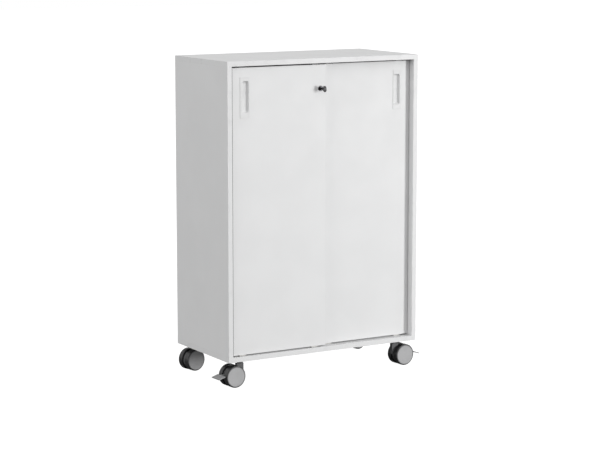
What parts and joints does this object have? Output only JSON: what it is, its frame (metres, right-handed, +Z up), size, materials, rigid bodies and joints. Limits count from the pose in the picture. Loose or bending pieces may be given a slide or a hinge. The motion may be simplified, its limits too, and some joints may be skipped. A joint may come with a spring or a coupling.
{
  "type": "mobile sliding-door cabinet",
  "caption": "Upright white cabinet on casters with overlapping sliding doors, flush finger pulls, a push-in key lock and adjustable shelves inside.",
  "frame": {"origin": "on the floor, under the middle of the whole object's bounding box, key included", "axes": "+Z up, +Y towards the back, +X to the right of someone facing the doors"},
  "size_m": [0.8714, 0.4456, 1.173],
  "materials": {
    "carcass_board": "white melamine-faced chipboard",
    "back_board": "white melamine-faced board",
    "door_board": "white melamine-faced chipboard",
    "pull_plastic": "white moulded plastic",
    "track_plastic": "extruded white plastic",
    "top_track_plastic": "extruded dark grey plastic",
    "fitting_plastic": "dark grey nylon",
    "roller_plastic": "natural nylon",
    "bright_steel": "zinc plated",
    "cam_zinc": "die-cast zinc",
    "dowel_wood": "beech",
    "caster_steel": "zinc plated",
    "lock_black": "black",
    "lock_metal": "black nickel",
    "key_metal": "dark nickel",
    "caster_grey": "grey moulded nylon",
    "tread_rubber": "dark grey, matt",
    "cap_grey": "light grey moulded plastic",
    "pedal_grey": "grey moulded plastic"
  },
  "bodies": {
    "root": {"top_panel": "carcass_board", "bottom_panel": "carcass_board", "left_side_panel": "carcass_board", "right_side_panel": "carcass_board", "back_panel": "back_board", "lower_shelf": "carcass_board", "upper_shelf": "carcass_board", "shelf_pins": "bright_steel", "connector_cams": "cam_zinc", "connector_bolts": "bright_steel", "dowels": "dowel_wood", "bottom_track": "track_plastic", "top_track": "top_track_plastic", "caster_plates": "caster_steel", "caster_screws": "bright_steel"},
    "left_door": {"left_door": "door_board", "left_door_pull": "pull_plastic", "left_door_roller_housings": "fitting_plastic", "left_door_roller_pins": "bright_steel", "left_door_guides": "fitting_plastic", "lock_housing": "lock_black", "lock_spring": "bright_steel"},
    "right_door": {"right_door": "door_board", "right_door_pull": "pull_plastic", "right_door_roller_housings": "fitting_plastic", "right_door_roller_pins": "bright_steel", "right_door_guides": "fitting_plastic"},
    "lock_barrel": {"lock_barrel": "lock_metal"},
    "key": {"lock_plug": "lock_metal", "key": "key_metal"},
    "left_door_left_roller": {"left_door_left_roller": "roller_plastic"},
    "left_door_right_roller": {"left_door_right_roller": "roller_plastic"},
    "right_door_left_roller": {"right_door_left_roller": "roller_plastic"},
    "right_door_right_roller": {"right_door_right_roller": "roller_plastic"},
    "front_left_caster": {"front_left_caster_housing": "caster_grey", "front_left_caster_axle": "bright_steel"},
    "front_left_front_wheel": {"front_left_caster_front_wheel": "tread_rubber", "front_left_caster_front_cap": "cap_grey"},
    "front_left_rear_wheel": {"front_left_caster_rear_wheel": "tread_rubber", "front_left_caster_rear_cap": "cap_grey"},
    "front_left_brake_pedal": {"front_left_brake_pedal": "pedal_grey"},
    "front_right_caster": {"front_right_caster_housing": "caster_grey", "front_right_caster_axle": "bright_steel"},
    "front_right_front_wheel": {"front_right_caster_front_wheel": "tread_rubber", "front_right_caster_front_cap": "cap_grey"},
    "front_right_rear_wheel": {"front_right_caster_rear_wheel": "tread_rubber", "front_right_caster_rear_cap": "cap_grey"},
    "front_right_brake_pedal": {"front_right_brake_pedal": "pedal_grey"},
    "rear_left_caster": {"rear_left_caster_housing": "caster_grey", "rear_left_caster_axle": "bright_steel"},
    "rear_left_front_wheel": {"rear_left_caster_front_wheel": "tread_rubber", "rear_left_caster_front_cap": "cap_grey"},
    "rear_left_rear_wheel": {"rear_left_caster_rear_wheel": "tread_rubber", "rear_left_caster_rear_cap": "cap_grey"},
    "rear_right_caster": {"rear_right_caster_housing": "caster_grey", "rear_right_caster_axle": "bright_steel"},
    "rear_right_front_wheel": {"rear_right_caster_front_wheel": "tread_rubber", "rear_right_caster_front_cap": "cap_grey"},
    "rear_right_rear_wheel": {"rear_right_caster_rear_wheel": "tread_rubber", "rear_right_caster_rear_cap": "cap_grey"}
  },
  "joints": [
    {"name": "left_door_slide", "type": "slide", "parent": "root", "child": "left_door", "axis": [1, 0, 0], "range_m": [0, 0.373]},
    {"name": "right_door_slide", "type": "slide", "parent": "root", "child": "right_door", "axis": [-1, 0, 0], "range_m": [0, 0.373]},
    {"name": "left_door_left_roller_turn", "type": "hinge", "parent": "left_door", "child": "left_door_left_roller", "pos_m": [-0.3355, -0.1695, 0.1228], "axis": [0, 1, 0], "range_deg": [0, 1530]},
    {"name": "left_door_right_roller_turn", "type": "hinge", "parent": "left_door", "child": "left_door_right_roller", "pos_m": [-0.0365, -0.1695, 0.1228], "axis": [0, 1, 0], "range_deg": [0, 1530]},
    {"name": "right_door_left_roller_turn", "type": "hinge", "parent": "right_door", "child": "right_door_left_roller", "pos_m": [0.0365, -0.1495, 0.1228], "axis": [0, -1, 0], "range_deg": [0, 1530]},
    {"name": "right_door_right_roller_turn", "type": "hinge", "parent": "right_door", "child": "right_door_right_roller", "pos_m": [0.3355, -0.1495, 0.1228], "axis": [0, -1, 0], "range_deg": [0, 1530]},
    {"name": "lock_push", "type": "slide", "parent": "left_door", "child": "lock_barrel", "axis": [0, 1, 0], "range_m": [0, 0.009], "stiffness_N_per_m": 250, "springref_m": -0.003, "deforming": ["lock_spring"]},
    {"name": "key_turn", "type": "hinge", "parent": "lock_barrel", "child": "key", "pos_m": [-0.015, -0.1775, 1.0635], "axis": [0, 1, 0], "range_deg": [0, 90]},
    {"name": "front_left_swivel", "type": "hinge", "parent": "root", "child": "front_left_caster", "pos_m": [-0.33, -0.14, 0.06], "axis": [0, 0, 1], "continuous": true},
    {"name": "front_left_front_wheel_spin", "type": "hinge", "parent": "front_left_caster", "child": "front_left_front_wheel", "pos_m": [-0.36395, -0.14178, 0.04], "axis": [0.0523, -0.9986, 0], "continuous": true},
    {"name": "front_left_rear_wheel_spin", "type": "hinge", "parent": "front_left_caster", "child": "front_left_rear_wheel", "pos_m": [-0.36395, -0.14178, 0.04], "axis": [0.0523, -0.9986, 0], "continuous": true},
    {"name": "front_left_brake_pedal_press", "type": "hinge", "parent": "front_left_caster", "child": "front_left_brake_pedal", "pos_m": [-0.38692, -0.14298, 0.0485], "axis": [0.0523, -0.9986, 0], "range_deg": [0, 12]},
    {"name": "front_right_swivel", "type": "hinge", "parent": "root", "child": "front_right_caster", "pos_m": [0.33, -0.14, 0.06], "axis": [0, 0, 1], "continuous": true},
    {"name": "front_right_front_wheel_spin", "type": "hinge", "parent": "front_right_caster", "child": "front_right_front_wheel", "pos_m": [0.36395, -0.13822, 0.04], "axis": [-0.0523, 0.9986, 0], "continuous": true},
    {"name": "front_right_rear_wheel_spin", "type": "hinge", "parent": "front_right_caster", "child": "front_right_rear_wheel", "pos_m": [0.36395, -0.13822, 0.04], "axis": [-0.0523, 0.9986, 0], "continuous": true},
    {"name": "front_right_brake_pedal_press", "type": "hinge", "parent": "front_right_caster", "child": "front_right_brake_pedal", "pos_m": [0.38692, -0.13702, 0.0485], "axis": [-0.0523, 0.9986, 0], "range_deg": [0, 12]},
    {"name": "rear_left_swivel", "type": "hinge", "parent": "root", "child": "rear_left_caster", "pos_m": [-0.33, 0.181, 0.06], "axis": [0, 0, 1], "continuous": true},
    {"name": "rear_left_front_wheel_spin", "type": "hinge", "parent": "rear_left_caster", "child": "rear_left_front_wheel", "pos_m": [-0.36348, 0.1751, 0.04], "axis": [0.1736, -0.9848, 0], "continuous": true},
    {"name": "rear_left_rear_wheel_spin", "type": "hinge", "parent": "rear_left_caster", "child": "rear_left_rear_wheel", "pos_m": [-0.36348, 0.1751, 0.04], "axis": [0.1736, -0.9848, 0], "continuous": true},
    {"name": "rear_right_swivel", "type": "hinge", "parent": "root", "child": "rear_right_caster", "pos_m": [0.33, 0.181, 0.06], "axis": [0, 0, 1], "continuous": true},
    {"name": "rear_right_front_wheel_spin", "type": "hinge", "parent": "rear_right_caster", "child": "rear_right_front_wheel", "pos_m": [0.36284, 0.1898, 0.04], "axis": [-0.2588, 0.9659, 0], "continuous": true},
    {"name": "rear_right_rear_wheel_spin", "type": "hinge", "parent": "rear_right_caster", "child": "rear_right_rear_wheel", "pos_m": [0.36284, 0.1898, 0.04], "axis": [-0.2588, 0.9659, 0], "continuous": true}
  ],
  "couplings": [
    {"joint": "left_door_left_roller_turn", "follows": "left_door_slide", "rad_per_m": 71.429},
    {"joint": "left_door_right_roller_turn", "follows": "left_door_slide", "rad_per_m": 71.429},
    {"joint": "right_door_left_roller_turn", "follows": "right_door_slide", "rad_per_m": 71.429},
    {"joint": "right_door_right_roller_turn", "follows": "right_door_slide", "rad_per_m": 71.429}
  ]
}
